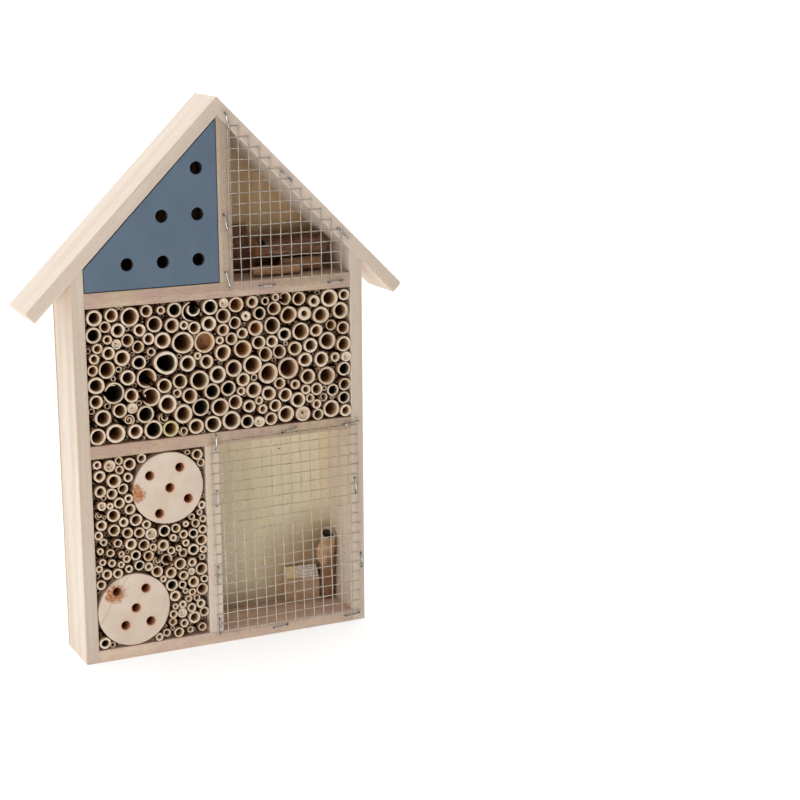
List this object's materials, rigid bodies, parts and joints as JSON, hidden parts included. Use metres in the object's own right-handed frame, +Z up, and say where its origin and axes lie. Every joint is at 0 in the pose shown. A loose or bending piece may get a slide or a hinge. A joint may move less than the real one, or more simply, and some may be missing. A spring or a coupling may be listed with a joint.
{
  "type": "insect hotel",
  "caption": "House-shaped wooden insect hotel with reed-packed rooms, drilled log discs, a painted front panel with nesting holes, and wire mesh over two rooms.",
  "frame": {"origin": "bottom centre of the whole object's box, on the underside of the bottom board", "axes": "+Z up, -Y towards the front with the reeds and the mesh, +X towards the side with the mesh rooms"},
  "size_m": [0.259, 0.047, 0.3645],
  "materials": {
    "pine": "planed softwood, unfinished",
    "plywood": "thin plywood, unfinished",
    "blue_painted_wood": "matte slate-blue paint",
    "log_end": "sawn end grain",
    "reed": "dry cut reed",
    "bark": "rough bark",
    "split_wood": "split and torn fibres",
    "galvanised_wire": "galvanised",
    "staple_steel": "bright zinc",
    "brad_steel": "dull steel",
    "zinc_plate": "zinc plated"
  },
  "bodies": {
    "root": {"left_side_panel": "pine", "right_side_panel": "pine", "bottom_board": "pine", "middle_shelf": "pine", "upper_shelf": "pine", "lower_divider": "pine", "roof_divider": "pine", "left_roof_board": "pine", "right_roof_board": "pine", "back_panel": "plywood", "blue_front_panel": "blue_painted_wood", "upper_log_disc": "log_end", "lower_log_disc": "log_end", "bark_slab": "bark", "thick_log": "bark", "front_stick": "bark", "middle_stick": "bark", "rear_stick": "bark", "wood_block": "split_wood", "hollow_stem": "bark", "roof_wire_mesh": "galvanised_wire", "lower_wire_mesh": "galvanised_wire", "roof_mesh_staples": "staple_steel", "lower_mesh_staples": "staple_steel", "side_panel_brads": "brad_steel", "divider_brads": "brad_steel", "roof_brads": "brad_steel", "back_panel_brads": "brad_steel", "blue_panel_brads": "brad_steel", "hanger_plate": "zinc_plate", "hanger_screws": "zinc_plate", "lower_reeds_01": "reed", "lower_reeds_02": "reed", "lower_reeds_03": "reed", "lower_reeds_04": "reed", "lower_reeds_05": "reed", "lower_reeds_06": "reed", "lower_reeds_07": "reed", "lower_reeds_08": "reed", "lower_reeds_09": "reed", "lower_reeds_10": "reed", "middle_reeds_01": "reed", "middle_reeds_02": "reed", "middle_reeds_03": "reed", "middle_reeds_04": "reed", "middle_reeds_05": "reed", "middle_reeds_06": "reed", "middle_reeds_07": "reed", "middle_reeds_08": "reed", "middle_reeds_09": "reed", "middle_reeds_10": "reed", "middle_reeds_11": "reed", "middle_reeds_12": "reed", "middle_reeds_13": "reed", "middle_reeds_14": "reed"}
  },
  "joints": []
}
